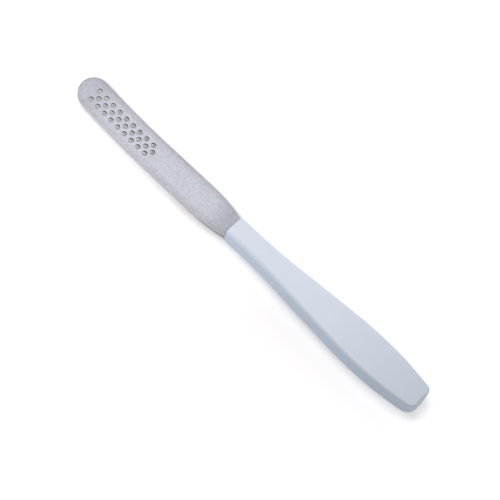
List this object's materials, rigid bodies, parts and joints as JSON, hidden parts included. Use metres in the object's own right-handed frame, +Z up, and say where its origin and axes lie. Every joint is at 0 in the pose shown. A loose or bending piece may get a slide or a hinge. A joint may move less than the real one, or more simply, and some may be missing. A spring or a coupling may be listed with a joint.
{
  "type": "foot file",
  "caption": "Slim foot file: a perforated steel blade with an upturned round tip and abrasive on both faces, in a knife-like moulded plastic handle, for smoothing hard skin.",
  "frame": {"origin": "on the surface that the handle lies on, under the middle of the overall length and width", "axes": "+X from the blade's tip to the handle's butt, +Y across the tool, +Z up, away from the surface it lies on"},
  "size_m": [0.24, 0.0222, 0.0122],
  "materials": {
    "blade_steel": "bare satin steel, seen as a thin rim round the abrasive and in the perforations",
    "coarse_grit": "matt grey nickel-bonded grit, coarse",
    "fine_grit": "matt grey nickel-bonded grit, fine",
    "handle_plastic": "satin moulded plastic, cool white"
  },
  "bodies": {
    "root": {"blade_core": "blade_steel", "coarse_abrasive_coat": "coarse_grit", "fine_abrasive_coat": "fine_grit", "handle": "handle_plastic"}
  },
  "joints": []
}
